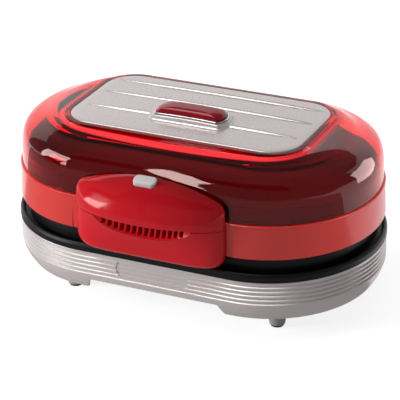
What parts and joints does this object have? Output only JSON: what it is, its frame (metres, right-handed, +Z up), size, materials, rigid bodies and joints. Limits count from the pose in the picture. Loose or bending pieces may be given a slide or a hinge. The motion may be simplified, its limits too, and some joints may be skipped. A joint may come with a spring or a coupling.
{
  "type": "double hamburger maker",
  "caption": "Long countertop hamburger maker with a ribbed silver base, red hinged lid with a boat-shaped handle, and a translucent cover over a bun tray.",
  "frame": {"origin": "centre of the bounding box on the plane the feet stand on", "axes": "+X along the body to the user's right as seen from the handle, +Y from the handle to the rear hinge, +Z up"},
  "size_m": [0.305, 0.2256, 0.1556],
  "materials": {
    "silver": "satin silver coated ABS",
    "grey": "satin",
    "black": "satin phenolic",
    "nonstick": "non-stick coated",
    "steel": "zinc plated",
    "heater": "heat tinted",
    "ceramic": "matte ceramic",
    "rubber": "matte",
    "red": "high gloss",
    "band_red": "gloss",
    "clear_red": "clear translucent acrylic",
    "lens_red": "domed gloss",
    "chrome": "polished"
  },
  "bodies": {
    "base": {"base_shell": "silver", "base_collar": "black", "lower_housing": "black", "lower_plate": "nonstick", "lower_heater": "heater", "heat_shield": "steel", "bottom_cover": "grey", "foot_front_left": "grey", "foot_front_right": "grey", "foot_rear_left": "grey", "foot_rear_right": "grey", "foot_pad_front_left": "rubber", "foot_pad_front_right": "rubber", "foot_pad_rear_left": "rubber", "foot_pad_rear_right": "rubber", "base_screw_front_left": "steel", "base_screw_front_right": "steel", "base_screw_rear_left": "steel", "base_screw_rear_right": "steel", "thermostat": "ceramic", "terminal_block": "ceramic", "cord_gland": "rubber", "hinge_bracket_left": "black", "hinge_bracket_right": "black", "hinge_pin_left": "steel", "hinge_pin_right": "steel"},
    "lid": {"lid_band": "band_red", "upper_plate": "nonstick", "upper_heater": "heater", "bun_tray": "black", "handle_body": "red", "handle_cap": "red", "handle_screw_left": "steel", "handle_screw_right": "steel", "button_spring": "steel", "hinge_arm_left": "steel", "hinge_arm_right": "steel", "cover_pin_left": "steel", "cover_pin_right": "steel"},
    "button": {"release_button": "grey"},
    "cover": {"bun_cover": "clear_red", "top_panel": "silver", "badge_bezel": "chrome", "badge_lens": "lens_red", "panel_screw_front_left": "steel", "panel_screw_front_right": "steel", "panel_screw_rear_left": "steel", "panel_screw_rear_right": "steel", "cover_catch": "red"}
  },
  "joints": [
    {"name": "lid_hinge", "type": "hinge", "parent": "base", "child": "lid", "pos_m": [0, 0.10675, 0.0725], "axis": [-1, 0, 0], "range_deg": [0, 95]},
    {"name": "cover_hinge", "type": "hinge", "parent": "lid", "child": "cover", "pos_m": [0, 0.10425, 0.101], "axis": [-1, 0, 0], "range_deg": [0, 75]},
    {"name": "button_press", "type": "slide", "parent": "lid", "child": "button", "axis": [0, 0, -1], "range_m": [0, 0.0025], "stiffness_N_per_m": 300, "springref_m": -0.002, "deforming": ["button_spring"]}
  ]
}
